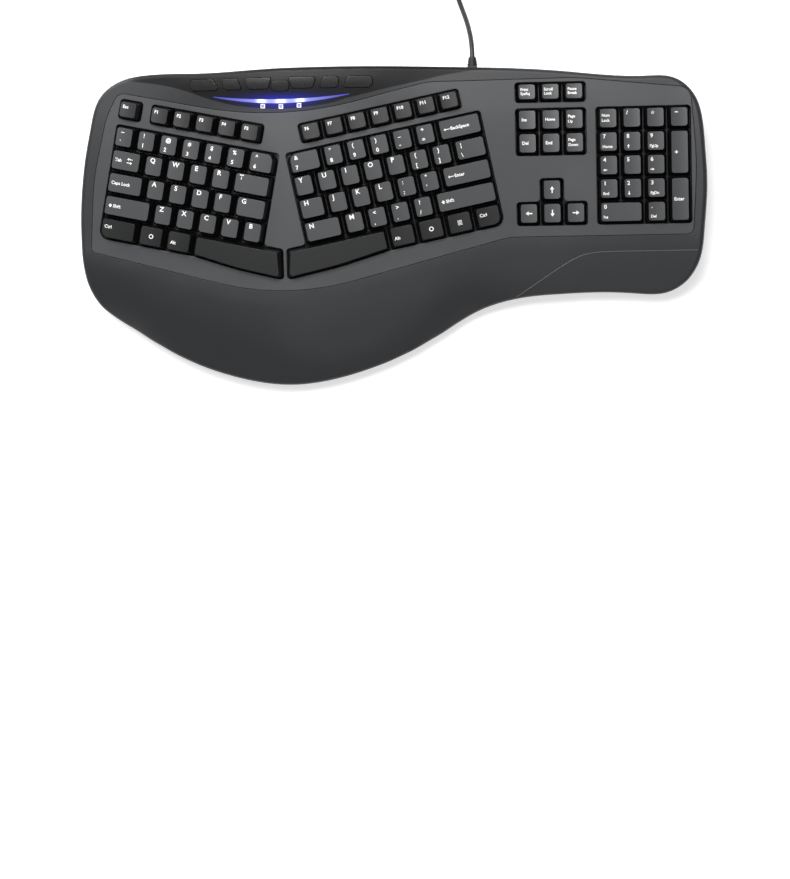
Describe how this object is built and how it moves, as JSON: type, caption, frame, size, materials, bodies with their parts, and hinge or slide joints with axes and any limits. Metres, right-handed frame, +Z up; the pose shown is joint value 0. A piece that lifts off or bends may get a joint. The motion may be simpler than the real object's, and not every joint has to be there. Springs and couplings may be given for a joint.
{
  "type": "ergonomic keyboard",
  "caption": "Split, tented wired keyboard with a curved palm rest, media keys, numeric pad and flip-out rear feet.",
  "frame": {"origin": "on the desk plane, below the middle of the keyboard's outline", "axes": "+X to the user's right, +Y to the rear, +Z up from the desk"},
  "size_m": [0.5162, 0.4771, 0.0709],
  "materials": {
    "deck_grey": "fine texture",
    "palm_grey": "satin",
    "case_black": "matte",
    "key_black": "satin",
    "media_grey": "satin",
    "silicone": "translucent rubber",
    "film": "printed film",
    "steel": "zinc plated",
    "board": "solder mask",
    "light": "light guide",
    "rubber": "soft",
    "cord": "matte jacket"
  },
  "bodies": {
    "case": {"backing_plates": "steel", "bottom_case": "case_black", "case_screws": "steel", "controller_board": "board", "deck_panel": "deck_grey", "dome_sheets": "silicone", "indicator_lenses": "light", "key_plate_left": "case_black", "key_plate_pad": "case_black", "key_plate_right": "case_black", "lead_coil": "cord", "lead_inside": "cord", "lead_run": "cord", "lead_tail": "cord", "lead_tie": "cord", "light_bar": "light", "light_board": "board", "media_board": "board", "media_mat": "silicone", "membranes": "film", "plug_grip": "rubber", "plug_shell": "steel", "rubber_pads": "rubber", "strain_relief": "rubber", "top_case": "palm_grey"},
    "key_escape": {"key_escape": "key_black"},
    "keys_f1_f5": {"keys_f1_f5": "key_black"},
    "keys_number_left": {"keys_number_left": "key_black"},
    "key_tab": {"key_tab": "key_black"},
    "keys_q_to_t": {"keys_q_to_t": "key_black"},
    "key_caps_lock": {"key_caps_lock": "key_black"},
    "keys_a_to_g": {"keys_a_to_g": "key_black"},
    "key_shift_left": {"key_shift_left": "key_black"},
    "keys_z_to_b": {"keys_z_to_b": "key_black"},
    "keys_ctrl_to_alt_left": {"keys_ctrl_to_alt_left": "key_black"},
    "key_space_left": {"key_space_left": "key_black"},
    "keys_f6_f12": {"keys_f6_f12": "key_black"},
    "keys_number_right": {"keys_number_right": "key_black"},
    "key_backspace": {"key_backspace": "key_black"},
    "keys_y_to_backslash": {"keys_y_to_backslash": "key_black"},
    "keys_h_to_quote": {"keys_h_to_quote": "key_black"},
    "key_enter": {"key_enter": "key_black"},
    "keys_n_to_slash": {"keys_n_to_slash": "key_black"},
    "key_shift_right": {"key_shift_right": "key_black"},
    "keys_alt_to_ctrl_right": {"keys_alt_to_ctrl_right": "key_black"},
    "key_space_right": {"key_space_right": "key_black"},
    "keys_print_to_pause": {"keys_print_to_pause": "key_black"},
    "keys_navigation": {"keys_navigation": "key_black"},
    "keys_arrows": {"keys_arrows": "key_black"},
    "keys_numpad_top": {"keys_numpad_top": "key_black"},
    "keys_numpad_digits": {"keys_numpad_digits": "key_black"},
    "key_numpad_zero": {"key_numpad_zero": "key_black"},
    "key_numpad_point": {"key_numpad_point": "key_black"},
    "key_numpad_plus": {"key_numpad_plus": "key_black"},
    "key_numpad_enter": {"key_numpad_enter": "key_black"},
    "media_buttons": {"media_buttons": "media_grey"},
    "foot_left": {"foot_left": "case_black", "foot_tip_left": "rubber"},
    "foot_right": {"foot_right": "case_black", "foot_tip_right": "rubber"}
  },
  "joints": [
    {"name": "key_escape_press", "type": "slide", "parent": "case", "child": "key_escape", "axis": [0.0944, 0.1144, -0.9889], "range_m": [0, 0.0035], "stiffness_N_per_m": 150, "springref_m": -0.0012, "deforming": ["dome_sheets"]},
    {"name": "keys_f1_f5_press", "type": "slide", "parent": "case", "child": "keys_f1_f5", "axis": [0.0944, 0.1144, -0.9889], "range_m": [0, 0.0035], "stiffness_N_per_m": 750, "springref_m": -0.0012},
    {"name": "keys_number_left_press", "type": "slide", "parent": "case", "child": "keys_number_left", "axis": [0.0944, 0.1144, -0.9889], "range_m": [0, 0.0035], "stiffness_N_per_m": 1050, "springref_m": -0.0012},
    {"name": "key_tab_press", "type": "slide", "parent": "case", "child": "key_tab", "axis": [0.0944, 0.1144, -0.9889], "range_m": [0, 0.0035], "stiffness_N_per_m": 150, "springref_m": -0.0012},
    {"name": "keys_q_to_t_press", "type": "slide", "parent": "case", "child": "keys_q_to_t", "axis": [0.0944, 0.1144, -0.9889], "range_m": [0, 0.0035], "stiffness_N_per_m": 750, "springref_m": -0.0012},
    {"name": "key_caps_lock_press", "type": "slide", "parent": "case", "child": "key_caps_lock", "axis": [0.0944, 0.1144, -0.9889], "range_m": [0, 0.0035], "stiffness_N_per_m": 150, "springref_m": -0.0012},
    {"name": "keys_a_to_g_press", "type": "slide", "parent": "case", "child": "keys_a_to_g", "axis": [0.0944, 0.1144, -0.9889], "range_m": [0, 0.0035], "stiffness_N_per_m": 750, "springref_m": -0.0012},
    {"name": "key_shift_left_press", "type": "slide", "parent": "case", "child": "key_shift_left", "axis": [0.0944, 0.1144, -0.9889], "range_m": [0, 0.0035], "stiffness_N_per_m": 150, "springref_m": -0.0012},
    {"name": "keys_z_to_b_press", "type": "slide", "parent": "case", "child": "keys_z_to_b", "axis": [0.0944, 0.1144, -0.9889], "range_m": [0, 0.0035], "stiffness_N_per_m": 750, "springref_m": -0.0012},
    {"name": "keys_ctrl_to_alt_left_press", "type": "slide", "parent": "case", "child": "keys_ctrl_to_alt_left", "axis": [0.0944, 0.1144, -0.9889], "range_m": [0, 0.0035], "stiffness_N_per_m": 450, "springref_m": -0.0012},
    {"name": "key_space_left_press", "type": "slide", "parent": "case", "child": "key_space_left", "axis": [0.0944, 0.1144, -0.9889], "range_m": [0, 0.0035], "stiffness_N_per_m": 150, "springref_m": -0.0012},
    {"name": "keys_f6_f12_press", "type": "slide", "parent": "case", "child": "keys_f6_f12", "axis": [-0.0944, 0.1144, -0.9889], "range_m": [0, 0.0035], "stiffness_N_per_m": 1050, "springref_m": -0.0012},
    {"name": "keys_number_right_press", "type": "slide", "parent": "case", "child": "keys_number_right", "axis": [-0.0944, 0.1144, -0.9889], "range_m": [0, 0.0035], "stiffness_N_per_m": 900, "springref_m": -0.0012},
    {"name": "key_backspace_press", "type": "slide", "parent": "case", "child": "key_backspace", "axis": [-0.0944, 0.1144, -0.9889], "range_m": [0, 0.0035], "stiffness_N_per_m": 150, "springref_m": -0.0012},
    {"name": "keys_y_to_backslash_press", "type": "slide", "parent": "case", "child": "keys_y_to_backslash", "axis": [-0.0944, 0.1144, -0.9889], "range_m": [0, 0.0035], "stiffness_N_per_m": 1200, "springref_m": -0.0012},
    {"name": "keys_h_to_quote_press", "type": "slide", "parent": "case", "child": "keys_h_to_quote", "axis": [-0.0944, 0.1144, -0.9889], "range_m": [0, 0.0035], "stiffness_N_per_m": 900, "springref_m": -0.0012},
    {"name": "key_enter_press", "type": "slide", "parent": "case", "child": "key_enter", "axis": [-0.0944, 0.1144, -0.9889], "range_m": [0, 0.0035], "stiffness_N_per_m": 150, "springref_m": -0.0012},
    {"name": "keys_n_to_slash_press", "type": "slide", "parent": "case", "child": "keys_n_to_slash", "axis": [-0.0944, 0.1144, -0.9889], "range_m": [0, 0.0035], "stiffness_N_per_m": 750, "springref_m": -0.0012},
    {"name": "key_shift_right_press", "type": "slide", "parent": "case", "child": "key_shift_right", "axis": [-0.0944, 0.1144, -0.9889], "range_m": [0, 0.0035], "stiffness_N_per_m": 150, "springref_m": -0.0012},
    {"name": "keys_alt_to_ctrl_right_press", "type": "slide", "parent": "case", "child": "keys_alt_to_ctrl_right", "axis": [-0.0944, 0.1144, -0.9889], "range_m": [0, 0.0035], "stiffness_N_per_m": 600, "springref_m": -0.0012},
    {"name": "key_space_right_press", "type": "slide", "parent": "case", "child": "key_space_right", "axis": [-0.0944, 0.1144, -0.9889], "range_m": [0, 0.0035], "stiffness_N_per_m": 150, "springref_m": -0.0012},
    {"name": "keys_print_to_pause_press", "type": "slide", "parent": "case", "child": "keys_print_to_pause", "axis": [0, 0.0837, -0.9965], "range_m": [0, 0.0035], "stiffness_N_per_m": 450, "springref_m": -0.0012},
    {"name": "keys_navigation_press", "type": "slide", "parent": "case", "child": "keys_navigation", "axis": [0, 0.0837, -0.9965], "range_m": [0, 0.0035], "stiffness_N_per_m": 900, "springref_m": -0.0012},
    {"name": "keys_arrows_press", "type": "slide", "parent": "case", "child": "keys_arrows", "axis": [0, 0.0837, -0.9965], "range_m": [0, 0.0035], "stiffness_N_per_m": 600, "springref_m": -0.0012},
    {"name": "keys_numpad_top_press", "type": "slide", "parent": "case", "child": "keys_numpad_top", "axis": [0, 0.0837, -0.9965], "range_m": [0, 0.0035], "stiffness_N_per_m": 600, "springref_m": -0.0012},
    {"name": "keys_numpad_digits_press", "type": "slide", "parent": "case", "child": "keys_numpad_digits", "axis": [0, 0.0837, -0.9965], "range_m": [0, 0.0035], "stiffness_N_per_m": 1350, "springref_m": -0.0012},
    {"name": "key_numpad_zero_press", "type": "slide", "parent": "case", "child": "key_numpad_zero", "axis": [0, 0.0837, -0.9965], "range_m": [0, 0.0035], "stiffness_N_per_m": 150, "springref_m": -0.0012},
    {"name": "key_numpad_point_press", "type": "slide", "parent": "case", "child": "key_numpad_point", "axis": [0, 0.0837, -0.9965], "range_m": [0, 0.0035], "stiffness_N_per_m": 150, "springref_m": -0.0012},
    {"name": "key_numpad_plus_press", "type": "slide", "parent": "case", "child": "key_numpad_plus", "axis": [0, 0.0837, -0.9965], "range_m": [0, 0.0035], "stiffness_N_per_m": 150, "springref_m": -0.0012},
    {"name": "key_numpad_enter_press", "type": "slide", "parent": "case", "child": "key_numpad_enter", "axis": [0, 0.0837, -0.9965], "range_m": [0, 0.0035], "stiffness_N_per_m": 150, "springref_m": -0.0012},
    {"name": "media_buttons_press", "type": "slide", "parent": "case", "child": "media_buttons", "axis": [0, 0.0523, -0.9986], "range_m": [0, 0.0008], "stiffness_N_per_m": 1500, "springref_m": -0.0004},
    {"name": "foot_left_fold", "type": "hinge", "parent": "case", "child": "foot_left", "pos_m": [-0.19197, 0.08193, 0.01396], "axis": [1, 0, 0], "range_deg": [-135, 0]},
    {"name": "foot_right_fold", "type": "hinge", "parent": "case", "child": "foot_right", "pos_m": [0.21503, 0.08193, 0.01396], "axis": [1, 0, 0], "range_deg": [-135, 0]}
  ]
}
